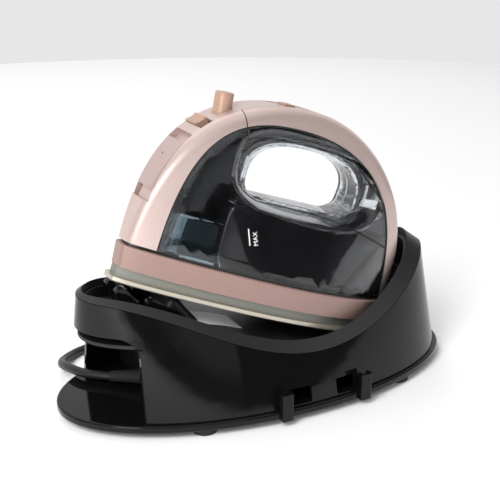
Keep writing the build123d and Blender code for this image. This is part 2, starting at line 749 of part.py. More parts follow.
def bay_cut(mouth, near_y, far_y):
    """Side view of the opening for the lead under the front lip, between two stations across."""
    corner = FilletPolyline((-200, 0, lip_low), (mouth, 0, lip_low), (mouth - 1, 0, -5), radius=bay_corner)
    box = Polyline((mouth - 1, 0, -5), (-200, 0, -5), (-200, 0, lip_low))
    face = Face(Wire(list(corner.edges()) + list(box.edges())))
    return extrude(Pos(0, near_y, 0) * face, amount=far_y - near_y, dir=(0, 1, 0))


def stand_shell():
    wall = tub(0, 0, 0) - tub(shell_wall, shell_wall, shell_wall, low=plate_top - 1)
    wall &= below(edge_z, 0.4)
    wall -= bay_cut(bay_mouth_near, -120, 0)
    wall -= bay_cut(bay_mouth_far, -0.1, 120)
    for x0, x1 in window_places():
        opening = slab(x0, x1, -100, 100, plate_top + 0.6, plate_top + 11.5)
        wall -= fillet(opening.edges().filter_by(Axis.Y), 1.5)
    put("stand_shell", wall)


def window_places():
    """The shell is cut open beside each carrying-case post, on the side that faces the other post."""
    a, b = post_places
    half = post_wide / 2
    return ((a + half + 0.5, a + half + 19), (b - half - 16, b - half - 0.5))


def base_plate():
    plate = raised(oval(-plate_half_length, plate_half_length, 0, plate_half_width, plate_low, plate_fullness),
                   plate_top - plate_low)
    plate = fillet([e for e in plate.edges() if e.length > 60], plate_edge)
    for x in post_places:
        edge_y = plate_half_width * sqrt(1 - (x / plate_half_length) ** 2)
        for side in (-1, 1):
            y = side * (edge_y + 0.9)
            tall = plate_top + post_height - plate_low
            post = Pos(x, y, plate_low + tall / 2) * Box(post_wide, 6.0, tall)
            plate += fillet(post.edges().filter_by(Axis.Z), 1.2)
            plate -= Pos(x, y - side * 2.0, plate_top + post_height / 2 + 4) * Box(post_wide - 3.6, 5.5, post_height)
    put("base_plate", plate)
    feet = []
    for x in foot_stations:
        y = (plate_half_width - 9) * sqrt(1 - (x / (plate_half_length - 9)) ** 2) - 1.5
        for side in (-1, 1):
            foot = Pos(x, side * y, plate_low / 2) * Cylinder(foot_radius, plate_low)
            feet.append(fillet(foot.edges().sort_by(Axis.Z)[:1], 0.8).solid())
    put("rubber_feet", Compound(feet))


def floor_z(x):
    return tray_front_z - (x - tray_front_x) * tan(radians(tray_slope))


def over_floor(lift=0.0):
    x0, x1 = -170, 170
    return outline_prism([(x0, floor_z(x0) + lift), (x0, 200), (x1, 200), (x1, floor_z(x1) + lift)], 120)


def tray():
    f, s, r = tray_insets
    cup = tub(f, s, r, low=plate_top) & over_floor() & below(rim_z, 5.3)
    cup -= tub(f + tray_wall, s + tray_wall, r + tray_wall, low=plate_top - 1) & over_floor(tray_wall)
    # two ribs and a bar across them carry the heel of the soleplate
    for side in (-1, 1):
        rib = iron_seat * slab(heel_rest_x - 12, heel_rest_x + 12, side * 14 - 2, side * 14 + 2,
                               -60, -lift_gap)
        cup += rib & over_floor(tray_wall / 2) & tub(f + 1, s + 1, r + 1)
    bar = iron_seat * slab(heel_rest_x - 3, heel_rest_x + 3, -16, 16, -60, -lift_gap)
    cup += bar & over_floor(tray_wall / 2) & tub(f + 1, s + 1, r + 1)
    put("tray", cup)


def cord_bay():
    room = tub(shell_wall + 0.35, shell_wall + 0.35, shell_wall + 0.35, low=plate_top)
    wall = slab(bay_x, bay_x + 2.4, -80, 80, plate_top + 0.1, bay_ceiling + 2.2)
    ceiling = slab(-160, bay_x + 2.4, -80, 80, bay_ceiling, bay_ceiling + 2.2)
    panel = (wall + ceiling) & room
    panel -= Pos(bay_x, *relief_start) * Rot(0, 90, 0) * Cylinder(gland_neck, 20)
    put("cord_bay", panel)


def iron_rest():
    """A-shaped saddle under the front of the soleplate: two rounded ribs joined by a web."""
    apex = iron_seat * Pos(rest_x, 0, -lift_gap)
    ax, az = apex.position.X, apex.position.Z
    r = rib_radius
    front, rear = ax - 16, ax + 24
    web = outline_prism([(ax - 4, az - 4), (ax + 6, az - 6), (rear - 4, floor_z(rear)),
                         (rear - 12, floor_z(rear)), (ax + 1, az - 16), (front + 12, floor_z(front)),
                         (front + 4, floor_z(front))], rest_half - 1)
    body = web
    for side in (-1, 1):
        y = side * (rest_half - 1)
        for foot in (front + 4, rear - 5):
            a, b = Vector(ax, y, az - r - 2.0), Vector(foot, y, floor_z(foot) - 6)
            rib = Solid.make_cylinder(r, (b - a).length, Plane(a, z_dir=b - a))
            body += rib
        body += Pos(ax, y, az - r - 2.0) * Sphere(r)
    pad = iron_seat * slab(rest_x - 4, rest_x + 4, -rest_half, rest_half, -8, -lift_gap)
    body += pad
    body &= over_floor(tray_wall + 0.05)
    put("iron_rest", body)


def terminal_housing():
    f, s, r = tray_insets
    grow = tray_wall + 0.3
    block = slab(heel_x + 2.6, heel_x + 50, -16, 16, 27, 50) + slab(heel_x + 7, heel_x + 50, -16, 16, -20, 28)
    block = iron_seat * block
    block &= tub(f + grow, s + grow, r + grow)
    block &= over_floor(tray_wall + 0.05)
    tips = []
    tip_x = heel_face_x + 0.8 + lift_gap
    for y in (-8, 0, 8):
        blade = slab(tip_x + 1.5, heel_x + 9, y - 1.9, y + 1.9, 37.5, 38.5)
        blade += slab(tip_x + 1.5, heel_x + 9, y - 1.9, y + 1.9, 41.5, 42.5)
        blade += Pos(tip_x + 2.5, y, 40) * Rot(90, 0, 0) * Cylinder(2.5, 3.8)
        blade -= Pos(tip_x + 2.5, y, 40) * Rot(90, 0, 0) * Cylinder(1.5, 5)
        block -= iron_seat * slab(heel_x, heel_x + 9, y - 2.0, y + 2.0, 37.4, 42.6)
        tips.append((iron_seat * blade).solid())
    put("terminal_housing", block)
    put("stand_contacts", Compound(tips))


# ---------------------------------------------------------------- stand: mains lead
def lead_path(points):
    """Straight runs joined by tangent arcs, each as large as its two runs allow."""
    p = [Vector(*q) for q in points]
    radii = []
    for a, b, c in zip(p, p[1:], p[2:]):
        turn = radians((b - a).get_angle(c - b))
        radii.append(0.45 * min((b - a).length, (c - b).length) / tan(turn / 2))
    print("lead arc radii", [round(r) for r in radii])
    return FilletPolyline(*p, radius=radii)


def cord_gland():
    """Tapered relief: a flange each side of the bay wall, then a long cone along the lead."""
    hole = Pos(bay_x, *relief_start) * Rot(0, 90, 0)
    neck = hole * Pos(0, 0, 1.2) * Cylinder(gland_neck, 2.4)
    flanges = [hole * Pos(0, 0, z) * Cylinder(7.0, 2.0) for z in (-1.0, 3.4)]
    a, b = Vector(bay_x - 1.0, *relief_start), Vector(*relief_end)
    cone = Solid.make_cone(5.4, 3.9, (b - a).length, Plane(a, z_dir=b - a))
    cone &= slab(-300, bay_x, -100, 100, plate_top + 0.15, 60)
    put("cord_gland", neck + flanges + cone)


def power_lead():
    path = lead_path(lead_route)
    start = Vector(*lead_route[0])
    tube = sweep(Plane(start, z_dir=path % 0) * Circle(cord_radius), path)
    print("lead length", round(path.length, 1), "volume ratio",
          round(tube.volume / (pi * cord_radius ** 2 * path.length), 4))
    put("power_cord", tube)
    turn = coil_mean / 2 + (coil_columns - 1) / 2 * coil_pitch
    inner = coil_mean / 2 - (coil_columns - 1) / 2 * coil_pitch - cord_radius
    tall = (coil_layers - 1) * coil_pitch + 2 * cord_radius
    ring = Cylinder(turn + cord_radius, tall) - Cylinder(inner, tall)
    ring = Pos(coil_x, coil_y, coil_low + tall / 2) * fillet(ring.edges(), 2.4)
    # the lead comes in along the bottom turn and goes out to the plug along the top one
    for y, z in ((coil_y - turn, coil_low + cord_radius), (coil_y + turn, plug_z)):
        ring += Pos(coil_x - coil_stub / 2, y, z) * Rot(0, 90, 0) * Cylinder(cord_radius, coil_stub)
    put("cord_coil", ring)
    start = coil_x - coil_stub
    relief = Solid.make_cone(cord_radius + 0.6, 5.6, plug_relief,
                             Plane((start, coil_y + turn, plug_z), z_dir=(-1, 0, 0)))
    front = start - plug_relief - plug_long
    body = Box(plug_long, plug_wide, 2 * (plug_z - coil_low))
    body = Pos(front + plug_long / 2, coil_y + turn, plug_z) * body
    body = chamfer(body.edges().filter_by(Axis.X), 4.0)
    body = fillet(body.edges().group_by(Axis.X)[0], 2.0)
    put("mains_plug", relief + body)
    blades = [slab(front - blade_long, front, coil_y + turn + y - 0.75, coil_y + turn + y + 0.75,
                   plug_z - 3.15, plug_z + 3.15) for y in (-6.35, 6.35)]
    put("plug_blades", Compound([b.solid() for b in blades]))


def build():
    outer = body_form(0)
    soleplate()
    heater_casting()
    heating_element()
    steam_cover()
    thermostat()
    skirt()
    body_floor()
    covers(outer)
    fill_hatch(outer)
    filler_neck()
    steam_lever()
    spray_button()
    control_panel()
    windows()
    inner_parts()
    heel_terminals()
    base_plate()
    stand_shell()
    rim()
    tray()
    cord_bay()
    iron_rest()
    terminal_housing()
    cord_gland()
    power_lead()
    os.makedirs("parts", exist_ok=True)
    for name, shape in PARTS.items():
        export_step(shape, f"parts/{name}.step")


build()
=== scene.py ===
# %% [markdown]
# # A cordless steam iron on its stand
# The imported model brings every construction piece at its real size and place. This file dresses
# it: camera and light, the mains lead, the finishes, and the small forms that live on the
# surface. Everything is in metres, with the floor at z = 0 and the nose of the iron towards -X.

# %% Load the frame
import bpy
import bmesh
from math import radians, cos, sin, pi
from mathutils import Vector, Matrix


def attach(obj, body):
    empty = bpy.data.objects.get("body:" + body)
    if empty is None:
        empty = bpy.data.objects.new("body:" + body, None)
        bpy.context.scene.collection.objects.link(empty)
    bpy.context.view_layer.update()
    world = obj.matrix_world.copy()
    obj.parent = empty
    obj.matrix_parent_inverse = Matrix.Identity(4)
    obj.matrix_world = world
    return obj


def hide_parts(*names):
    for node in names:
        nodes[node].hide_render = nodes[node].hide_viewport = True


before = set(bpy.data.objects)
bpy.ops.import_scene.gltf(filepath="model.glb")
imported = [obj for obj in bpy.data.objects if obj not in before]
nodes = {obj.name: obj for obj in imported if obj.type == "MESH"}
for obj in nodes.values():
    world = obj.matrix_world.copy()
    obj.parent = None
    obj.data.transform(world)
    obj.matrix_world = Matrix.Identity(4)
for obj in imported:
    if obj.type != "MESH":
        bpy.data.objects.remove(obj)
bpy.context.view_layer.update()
print("pieces:", len(nodes))

# %% [markdown]
# ## Camera
# A product shot from the front left and a little above: 27 degrees round from the side of the
# iron and 19 degrees up. A long lens (72 mm on a 36 mm sensor) keeps the oval stand from
# stretching towards us.

# %% Camera
view_turn, view_rise, view_distance = radians(-27), radians(19.3), 0.714
aim = Vector((-0.0074, 0, 0.100))
towards_camera = Vector((sin(view_turn) * cos(view_rise), -cos(view_turn) * cos(view_rise), sin(view_rise)))
camera_data = bpy.data.cameras.new("camera")
camera_data.lens, camera_data.sensor_width = 72, 36
camera = bpy.data.objects.new("camera", camera_data)
bpy.context.collection.objects.link(camera)
camera.location = aim + towards_camera * view_distance
camera.rotation_euler = towards_camera.to_track_quat("Z", "Y").to_euler()
bpy.context.scene.camera = camera
print("camera at", [round(v, 3) for v in camera.location])

# %% [markdown]
# ## Studio
# Black plastic only looks glossy if it has something to reflect, and a clear body only looks
# clear if there is light behind it. So the surroundings are painted like a studio for product
# shots: a white backdrop behind, a big soft panel with straight edges in front on the left, a
# narrow one on the right and a ceiling, with darkness between. What only lights the surfaces
# evenly comes from soft lamps that glossy surfaces don't mirror, apart from one, the sheen
# lamp, which is there to be mirrored in the lacquer.

# %% Surroundings
world = bpy.data.worlds.new("studio")
bpy.context.scene.world = world
world.use_nodes = True
sky = world.node_tree
sky.nodes.clear()
seen_from = sky.nodes.new("ShaderNodeTexCoord")
split = sky.nodes.new("ShaderNodeSeparateXYZ")
sky.links.new(seen_from.outputs["Generated"], split.inputs[0])
axis_x, axis_y, axis_z = split.outputs


def sky_math(operation, a, b):
    """One sum in the sky's node tree; a and b are numbers or sockets."""
    node = sky.nodes.new("ShaderNodeMath")
    node.operation = operation
    for socket, value in zip(node.inputs, (a, b)):
        if isinstance(value, float):
            socket.default_value = value
        else:
            sky.links.new(value, socket)
    return node.outputs[0]


def rise(source, start, end):
    """0 before start, 1 after end, smooth between."""
    node = sky.nodes.new("ShaderNodeMapRange")
    node.interpolation_type = "SMOOTHSTEP"
    node.inputs["From Min"].default_value = start
    node.inputs["From Max"].default_value = end
    sky.links.new(source, node.inputs["Value"])
    return node.outputs[0]


def between(source, low, high, soft):
    """1 between low and high, with soft edges outside them."""
    return sky_math("MULTIPLY", rise(source, low - soft, low),
                    sky_math("SUBTRACT", 1.0, rise(source, high, high + soft)))


in_front = sky_math("SUBTRACT", 1.0, rise(axis_y, -0.10, 0.0))
left_panel = sky_math("MULTIPLY", in_front, sky_math("MULTIPLY", between(axis_x, -0.97, 0.14, 0.01),
                                                     between(axis_z, 0.04, 0.62, 0.04)))
right_panel = sky_math("MULTIPLY", rise(axis_x, 0.74, 0.82), between(axis_z, 0.05, 0.50, 0.10))
backdrop = rise(axis_y, 0.05, 0.35)
ceiling = rise(axis_z, 0.66, 0.86)
studio_dark, even_light = 0.05, 0.62
glow = studio_dark
for panel, strength in ((left_panel, 0.60), (right_panel, 0.30), (backdrop, 0.95), (ceiling, 0.85)):
    glow = sky_math("ADD", glow, sky_math("MULTIPLY", panel, strength))

mirrored = sky.nodes.new("ShaderNodeBackground")
sky.links.new(glow, mirrored.inputs["Strength"])
white = sky.nodes.new("ShaderNodeBackground")
even = sky.nodes.new("ShaderNodeBackground")
even.inputs["Strength"].default_value = even_light
# a ray straight from the camera, or one that has only passed through clear pieces, meets white
ray = sky.nodes.new("ShaderNodeLightPath")
turned = sky_math("ADD", ray.outputs["Glossy Depth"], ray.outputs["Diffuse Depth"])
through = sky_math("MULTIPLY", ray.outputs["Is Transmission Ray"], sky_math("LESS_THAN", turned, 0.5))
straight = sky_math("MAXIMUM", ray.outputs["Is Camera Ray"], through)


def choose(test, without, with_it):
    """One background where test is 0, the other where it is 1."""
    node = sky.nodes.new("ShaderNodeMixShader")
    sky.links.new(test, node.inputs[0])
    sky.links.new(without, node.inputs[1])
    sky.links.new(with_it, node.inputs[2])
    return node.outputs[0]


lit = choose(ray.outputs["Is Diffuse Ray"], mirrored.outputs[0], even.outputs[0])
out = sky.nodes.new("ShaderNodeOutputWorld")
sky.links.new(choose(straight, lit, white.outputs[0]), out.inputs[0])
bpy.context.scene.view_settings.view_transform = "Standard"
print("sky nodes:", len(sky.nodes))


# %% Soft lamps
lamp_aim = Vector((0, 0, 0.1))


def soft_light(name, place, power, width, height):
    """A rectangular lamp turned to the iron, which glossy surfaces don't mirror."""
    data = bpy.data.lights.new(name, "AREA")
    data.shape, data.size, data.size_y, data.energy = "RECTANGLE", width, height, power
    light = bpy.data.objects.new(name, data)
    bpy.context.collection.objects.link(light)
    light.location = place
    light.rotation_euler = (Vector(place) - lamp_aim).to_track_quat("Z", "Y").to_euler()
    light.visible_glossy = False
    return light


# the sheen lamp alone is switched back on for glossy surfaces
soft_light("key", (-1.1, -0.7, 1.3), 26, 0.8, 0.8)
soft_light("sheen", (-0.85, -0.72, 0.42), 3.6, 0.35, 0.6).visible_glossy = True
soft_light("fill", (1.3, -1.2, 0.9), 3, 1.0, 1.0)
soft_light("back", (0.2, 1.5, 1.5), 13, 1.4, 0.8)

# %% Floor
bpy.ops.object.select_all(action="DESELECT")
bpy.ops.mesh.primitive_circle_add(vertices=96, radius=1.6, fill_type="NGON", location=(0, 0, 0))
floor = bpy.context.object
floor.name = "floor"
paper = bpy.data.materials.new("pale_paper")
paper.use_nodes = True
paper.node_tree.nodes["Principled BSDF"].inputs["Base Color"].default_value = (0.93, 0.93, 0.93, 1)
paper.node_tree.nodes["Principled BSDF"].inputs["Roughness"].default_value = 0.9
floor.data.materials.append(paper)

# %% [markdown]
# ## Finishes
# Every finish starts from one shader. Its even values sit on the shader's own sockets; what
# varies over the surface, such as flake, grain or fine wear, comes from noise in Object
# coordinates.

# %% A finish, step by step
def finish(name, colour, rough, metal=0.0, clear=0.0, index=1.5, specular=0.5):
    """A material with even values on the shader's own sockets."""
    material = bpy.data.materials.new(name)
    material.use_nodes = True
    shader = material.node_tree.nodes["Principled BSDF"]
    shader.inputs["Base Color"].default_value = (*colour, 1)
    shader.inputs["Roughness"].default_value = rough
    shader.inputs["Metallic"].default_value = metal
    shader.inputs["Transmission Weight"].default_value = clear
    shader.inputs["IOR"].default_value = index
    shader.inputs["Specular IOR Level"].default_value = specular
    return material


def noise(material, scale, detail=3.0):
    """Noise in Object coordinates; returns its value socket."""
    made = material.node_tree.nodes
    link = material.node_tree.links.new
    place = made.new("ShaderNodeTexCoord")
    texture = made.new("ShaderNodeTexNoise")
    texture.inputs["Scale"].default_value = scale
    texture.inputs["Detail"].default_value = detail
    link(place.outputs["Object"], texture.inputs["Vector"])
    return texture.outputs["Fac"]


def grain(material, scale, depth):
    """Fine surface relief."""
    made = material.node_tree.nodes
    link = material.node_tree.links.new
    bump = made.new("ShaderNodeBump")
    bump.inputs["Strength"].default_value = 1.0
    bump.inputs["Distance"].default_value = depth
    link(noise(material, scale), bump.inputs["Height"])
    link(bump.outputs[0], made["Principled BSDF"].inputs["Normal"])


def spread(material, low, high, scale):
    """Let the roughness drift between low and high over the surface."""
    made = material.node_tree.nodes
    link = material.node_tree.links.new
    span = made.new("ShaderNodeMapRange")
    span.inputs["To Min"].default_value = low
    span.inputs["To Max"].default_value = high
    link(noise(material, scale), span.inputs["Value"])
    link(span.outputs[0], made["Principled BSDF"].inputs["Roughness"])


def tint(material, low, high, scale):
    """Colour that drifts between two close shades."""
    made = material.node_tree.nodes
    link = material.node_tree.links.new
    shades = made.new("ShaderNodeValToRGB")
    for stop, position, colour in zip(shades.color_ramp.elements, (0.35, 0.65), (low, high)):
        stop.position = position
        stop.color = (*colour, 1)
    link(noise(material, scale, detail=4.0), shades.inputs[0])
    link(shades.outputs[0], made["Principled BSDF"].inputs["Base Color"])


# %% Lacquers
pearl = finish("pearl_rose_lacquer", (0.62, 0.485, 0.45), 0.36, metal=0.55)
tint(pearl, (0.605, 0.47, 0.435), (0.635, 0.50, 0.465), 900)
spread(pearl, 0.32, 0.38, 60)
# a darker copy of the pearl lacquer: painted shade for the fill cover and the control panel, which face
# away from the key lamp
shaded_pearl = finish("pearl_lacquer_painted_shade", (0.53, 0.40, 0.375), 0.36, metal=0.55)
tint(shaded_pearl, (0.515, 0.385, 0.36), (0.545, 0.415, 0.39), 900)
spread(shaded_pearl, 0.32, 0.38, 60)
bronze = finish("bronze_rose_lacquer", (0.33, 0.215, 0.19), 0.36, metal=0.30)
tint(bronze, (0.315, 0.205, 0.18), (0.345, 0.225, 0.20), 900)
spread(bronze, 0.32, 0.40, 60)
copper = finish("copper_lacquer", (0.47, 0.30, 0.22), 0.40, metal=0.30)
tint(copper, (0.45, 0.285, 0.21), (0.49, 0.315, 0.23), 900)

# %% Black mouldings
gloss = finish("polished_black", (0.004, 0.004, 0.0045), 0.06, specular=0.28)
spread(gloss, 0.04, 0.08, 35)
satin = finish("satin_black", (0.012, 0.012, 0.013), 0.38)
grain(satin, 2600, 0.00003)
matte = finish("matte_black", (0.008, 0.008, 0.009), 0.5)
grain(matte, 1800, 0.00005)
rubber = finish("black_rubber", (0.015, 0.015, 0.015), 0.75)
grain(rubber, 1500, 0.00006)
sheath = finish("lead_sheath", (0.010, 0.010, 0.010), 0.45)
grain(sheath, 1200, 0.00004)

# %% Clear plastics
smoke = finish("smoked_clear", (0.84, 0.86, 0.89), 0.015, clear=1.0, index=1.49)
tank_clear = finish("tank_clear", (0.42, 0.50, 0.53), 0.03, clear=1.0, index=1.49)
lamp_clear = finish("lamp_clear", (0.85, 0.82, 0.75), 0.1, clear=0.8, index=1.49)
inner_dark = finish("inner_dark", (0.012, 0.012, 0.014), 0.16)
grain(inner_dark, 1500, 0.00003)

# %% Metals
ceramic = finish("sole_ceramic", (0.55, 0.50, 0.42), 0.30, metal=0.55)
spread(ceramic, 0.26, 0.36, 80)
casting = finish("blasted_casting", (0.27, 0.27, 0.24), 0.55, metal=0.6)
grain(casting, 900, 0.00008)
bright = finish("plated_metal", (0.72, 0.70, 0.66), 0.25, metal=1.0)
spread(bright, 0.18, 0.32, 150)
board_green = finish("board_green", (0.02, 0.12, 0.05), 0.4)
tint(board_green, (0.015, 0.10, 0.04), (0.03, 0.14, 0.06), 300)

# %% Who wears what
wardrobe = {
    gloss: "base_plate stand_shell",
    satin: "rim_band tray iron_rest terminal_housing",
    matte: "cord_bay",
    rubber: "rubber_feet cord_gland fill_seal",
    sheath: "mains_plug cord_coil power_cord",
    bright: "stand_contacts heel_contacts plug_blades element_terminals button_spring body_screws"
            " hatch_hinge_pin steam_valve_rod heating_element thermostat thermal_fuse",
    ceramic: "soleplate",
    casting: "heater_casting steam_chamber_cover",
    bronze: "heat_skirt",
    pearl: "nose_cover handle_cover fill_surround",
    # painted shade: the darker copy of the pearl lacquer
    shaded_pearl: "fill_cover control_panel",
    copper: "spray_button steam_lever temperature_key",
    smoke: "window_left window_right",
    tank_clear: "water_tank filler_neck",
    inner_dark: "inner_housing handle_core pump_block body_floor valve_seat spray_plunger"
                " heel_terminal_block key_switch",
    board_green: "circuit_board",
    lamp_clear: "indicator_lamps",
}
for material, names in wardrobe.items():
    for name in names.split():
        slots = nodes[name].data.materials
        slots.clear()
        slots.append(material)
dressed = sum(len(names.split()) for names in wardrobe.values())
print("dressed", dressed, "of", len(nodes), "nodes")

# %% [markdown]
# ## Mains lead
# The lead leaves the stand through a tapered relief under the nose, bends over the edge of the
# base plate and runs behind the stand, where its spare length lies in a neat coil. It is one
# NURBS curve: the listed points of its route, then the turns of the coil by a loop, then
# the plug. order_u and use_endpoint_u are set after the points, or the curve stays at order 2.

# %% Route and coil
cord_radius = 0.0033
route = [(-0.1095, 0.018, 0.0154), (-0.1249, 0.0289, 0.0153), (-0.1325, 0.0482, 0.0146),
         (-0.1318, 0.0685, 0.0086), (-0.121, 0.0865, 0.004), (-0.1015, 0.0978, 0.0035),
         (-0.070, 0.095, 0.0035), (-0.0365, 0.0904, 0.0035), (0.0, 0.088, 0.0035), (0.036, 0.088, 0.0035)]
coil_centre = Vector((0.062, 0.1313, 0))
outer_turn, pitch, plug_height = 0.0433, 0.0068, 0.0087
low_layer, high_layer = 0.0035, 0.0035 + pitch
lead_in, plug_lead, plug_end = 0.012, 0.013, 0.026
steps, rings, climb, shrinking_turns = 16, 3, 6, 2.0
points = list(route)
points.append((coil_centre.x - lead_in, coil_centre.y - outer_turn, low_layer))
# spiralling inwards on the floor, then outwards again on top
for layer in (0, 1):
    for i in range(steps * rings):
        along = i / steps
        inward = min(along, shrinking_turns) if layer == 0 else max(shrinking_turns - along, 0.0)
        radius = outer_turn - pitch * inward
        turn = -pi / 2 + 2 * pi * along
        height = low_layer if layer == 0 else high_layer
        if layer == 0 and i > steps * rings - climb:
            height = low_layer + pitch * (i - (steps * rings - climb)) / climb
        points.append((coil_centre.x + radius * cos(turn), coil_centre.y + radius * sin(turn), height))
for i in range(steps // 2 + 1):
    turn = -pi / 2 + 2 * pi * i / steps
    drop = (high_layer - plug_height) * i / (steps // 2)
    points.append((coil_centre.x + outer_turn * cos(turn), coil_centre.y + outer_turn * sin(turn),
                   high_layer - drop))
for reach in (plug_lead, plug_end):
    points.append((coil_centre.x - reach, coil_centre.y + outer_turn, plug_height))

curve = bpy.data.curves.new("mains_lead", "CURVE")
curve.dimensions = "3D"
line = curve.splines.new("NURBS")
line.points.add(len(points) - 1)
for point, place in zip(line.points, points):
    point.co = (*place, 1)
line.order_u = 3
line.use_endpoint_u = True
line.resolution_u = 6
curve.bevel_depth = cord_radius
curve.bevel_resolution = 5
curve.use_fill_caps = True
lead = bpy.data.objects.new("mains_lead", curve)
bpy.context.collection.objects.link(lead)
curve.materials.append(sheath)
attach(lead, "stand")
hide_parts("power_cord", "cord_coil")
straight_run = sum((Vector(a) - Vector(b)).length for a, b in zip(points, points[1:]))
print("points on the lead:", len(points), "length from point to point", round(straight_run, 3))

# %% [markdown]
# ## Reshaping the grip
# On the real iron the clear sides don't run flat past the grip opening: they dish inwards all
# round it, so that the fingers close round a slimmer bridge, and the opening reaches further
# towards the heel than a straight cut does. The construction pieces hold the plain form. Here
# welded copies of them are divided finely round the opening and pushed into the dished form,
# all by the same rule. The handle cover keeps its form. The pieces don't all stay clear of each
# other: mostly round the rear end of the opening, the clear sides run up to about a millimetre
# into the handle cover and somewhat less into the dished core.

# %% The iron's own frame
seat_tilt = radians(19.2)
seat = Matrix.Translation((0.004, 0, 0.0565)) @ Matrix.Rotation(seat_tilt, 4, "Y")
unseat = seat.inverted()


def pick(piece):
    """Select one piece alone and make it the active one."""
    bpy.ops.object.select_all(action="DESELECT")
    piece.select_set(True)
    bpy.context.view_layer.objects.active = piece


def welded_copy(name, new_name):
    """A copy of a construction piece with its loose triangles joined up."""
    piece = bpy.data.objects.new(new_name, nodes[name].data.copy())
    bpy.context.collection.objects.link(piece)
    pick(piece)
    bpy.ops.object.mode_set(mode="EDIT")
    bpy.ops.mesh.select_all(action="SELECT")
    bpy.ops.mesh.remove_doubles(threshold=0.000001)
    bpy.ops.object.mode_set(mode="OBJECT")
    return piece


def thicken(piece, thickness, offset=-1.0):
    """Give a skin a thickness: offset -1 grows it inwards, 1 outwards, 0 both ways."""
    pick(piece)
    skin = piece.modifiers.new("skin", "SOLIDIFY")
    skin.thickness, skin.offset = thickness, offset
    bpy.ops.object.modifier_apply(modifier=skin.name)


def dress(piece, material, body):
    """Material and body."""
    piece.data.materials.clear()
    piece.data.materials.append(material)
    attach(piece, body)


# %% Where the dish reaches
# the grip opening: middle and half size in the side view, and how its ends and its floor shift
grip_middle, grip_half = (-0.0239, 0.09875), (0.0359, 0.01845)
grip_front_shift, grip_rear_shift, grip_drop = 0.0078, 0.027, 0.0028
waist = 0.42                                        # share of the thickness left at the grip
oblong, dome_fullness = 2.6, 2.8                    # 2 would be an ellipse, more is fuller
full_pull, plain_reach, aft_reach, nose_reach = 1.14, 1.62, 0.66, 0.32
# the clear side's outline, inside which the dish has to fade out
dome_middle, dome_low, dome_high = -0.0238, 0.028, 0.1302
dome_front, dome_rear = 0.0811, 0.0977
fade_start, fade_end = 0.905, 0.985


def ramp(value, start, end):
    """0 before start, 1 after end, straight between."""
    return min(max((value - start) / (end - start), 0.0), 1.0)


def ease(t):
    """From 0 to 1 with soft ends."""
    return t * t * (3 - 2 * t)


def dish(x, z):
    """How strongly the side is drawn in at a place of the side view: 0 to 1."""
    u, v = (x - grip_middle[0]) / grip_half[0], (z - grip_middle[1]) / grip_half[1]
    ring = (abs(u) ** oblong + abs(v) ** oblong) ** (1 / oblong)
    aft = u / max(ring, 0.001)
    reach = plain_reach + aft_reach * max(aft, 0.0) ** 2 - nose_reach * max(-aft, 0.0) ** 2
    away = 1 - ramp(ring, full_pull, reach)
    half = dome_rear if x > dome_middle else dome_front
    across = abs(x - dome_middle) / half
    upward = max((z - dome_low) / (dome_high - dome_low), 0)
    dome = (across ** dome_fullness + upward ** dome_fullness) ** (1 / dome_fullness)
    return away * (1 - ramp(dome, fade_start, fade_end))


def draw_in(piece, longest=0.0018, rounds=6):
    """Divide a piece where an edge ends in the dish, a few rounds over, then push it in."""
    form = bmesh.new()
    form.from_mesh(piece.data)
    form.transform(unseat)
    for _ in range(rounds):
        near = [e for e in form.edges if e.calc_length() > longest
                and any(dish(v.co.x, v.co.z) > 0 for v in e.verts)]
        if not near:
            break
        bmesh.ops.subdivide_edges(form, edges=near, cuts=1)
        bmesh.ops.triangulate(form, faces=[f for f in form.faces if len(f.verts) > 3])
    for v in form.verts:
        x, y, z = v.co
        pull = dish(x, z)
        if pull > 0:
            along = ramp(x, grip_middle[0] - grip_half[0], grip_middle[0] + grip_half[0])
            shift = grip_front_shift + (grip_rear_shift - grip_front_shift) * along
            up = 1 - ramp(z, grip_middle[1] - grip_half[1], grip_middle[1] + grip_half[1])
            v.co = (x + shift * pull, y * (1 - (1 - waist) * ease(pull)), z - grip_drop * up * pull)
    form.transform(seat)
    form.to_mesh(piece.data)
    form.free()


def rounded_bar(middle, half):
    """A closed bar through the iron from side to side, its outline a rounded oblong."""
    bpy.ops.object.select_all(action="DESELECT")
    bpy.ops.mesh.primitive_cylinder_add(vertices=96, radius=1, depth=0.14, rotation=(pi / 2, 0, 0))
    bar = bpy.context.object
    bpy.ops.object.transform_apply(location=False, rotation=True, scale=False)
    for v in bar.data.vertices:
        ring = (abs(v.co.x) ** oblong + abs(v.co.z) ** oblong) ** (1 / oblong)
        v.co = (middle[0] + half[0] * v.co.x / ring, v.co.y, middle[1] + half[1] * v.co.z / ring)
    bar.data.transform(seat)
    return bar


def cut_away(piece, bar):
    """Take the bar's form out of the piece."""
    pick(piece)
    hollow = piece.modifiers.new("cut", "BOOLEAN")
    hollow.operation, hollow.object, hollow.solver = "DIFFERENCE", bar, "EXACT"
    bpy.ops.object.modifier_apply(modifier=hollow.name)
    bpy.data.objects.remove(bar)


# %% Dished pieces
core_opening_middle, core_opening_half = (-0.0185, 0.0939), (0.0445, 0.0256)
smooth_below, face_weight = radians(50), 80
